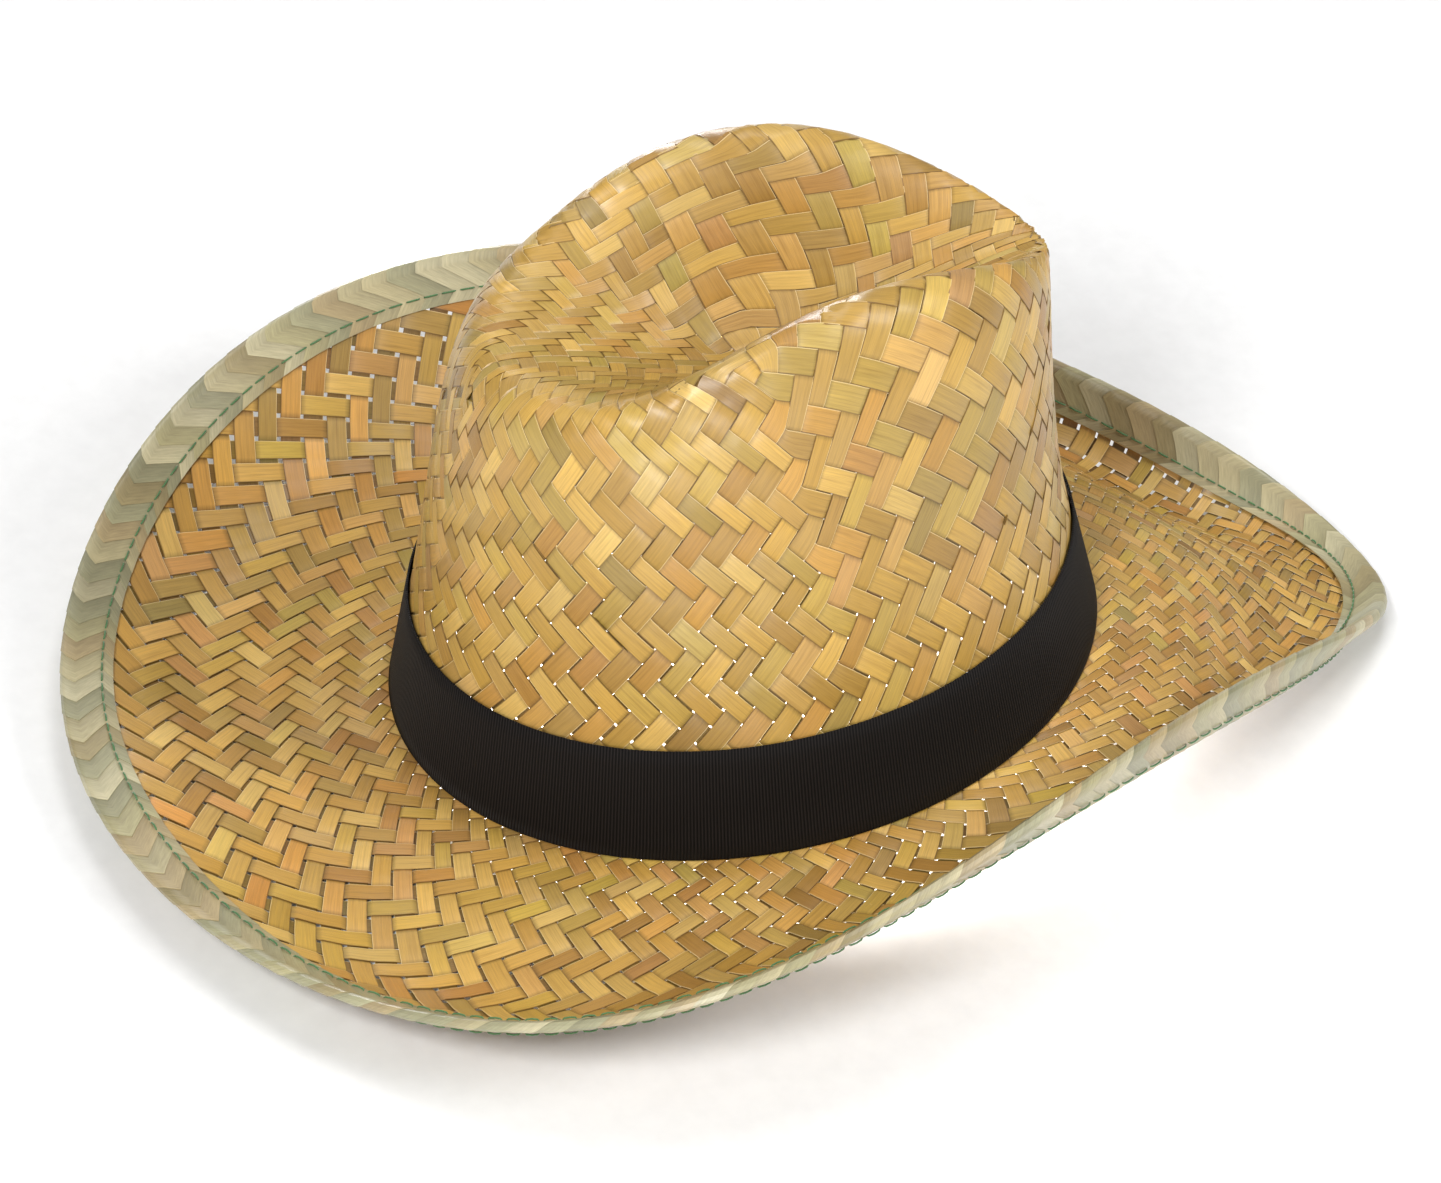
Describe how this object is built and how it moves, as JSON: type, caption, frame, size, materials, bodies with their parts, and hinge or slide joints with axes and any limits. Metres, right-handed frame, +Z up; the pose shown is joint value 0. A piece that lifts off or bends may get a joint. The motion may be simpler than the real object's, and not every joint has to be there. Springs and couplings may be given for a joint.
{
  "type": "cowboy hat",
  "caption": "Woven straw cowboy hat with a dented crown, curled brim, bound and stitched edge, black ribbon band and inner sweatband",
  "frame": {"origin": "on the ground under the middle of the hat's overall box, as the hat rests on a table", "axes": "+Z up, front of the hat toward -Y, wearer's left toward +X; the head line leans back from level because the front of the brim dips lower than its back"},
  "size_m": [0.304, 0.3986, 0.1726],
  "materials": {
    "crown_straw": "woven flat straw strips, lightly varnished",
    "brim_straw": "woven flat straw strips, lightly varnished",
    "binding_straw": "pale grey-green straw braid folded over the edge",
    "wire": "bare steel wire",
    "ferrule": "crimped brass sleeve",
    "green_thread": "green sewing thread",
    "ribbon": "black grosgrain ribbon, fine cross ribs",
    "glue": "set clear-white glue",
    "sweatband": "dark woven cotton band",
    "dark_thread": "dark sewing thread",
    "label": "blank white woven label"
  },
  "bodies": {
    "root": {"crown": "crown_straw", "brim": "brim_straw", "edge_binding": "binding_straw", "brim_wire": "wire", "wire_ferrule": "ferrule", "binding_thread_top": "green_thread", "binding_thread_under": "green_thread", "hat_band": "ribbon", "band_glue": "glue", "sweatband": "sweatband", "sweatband_thread": "dark_thread", "size_label": "label"}
  },
  "joints": []
}
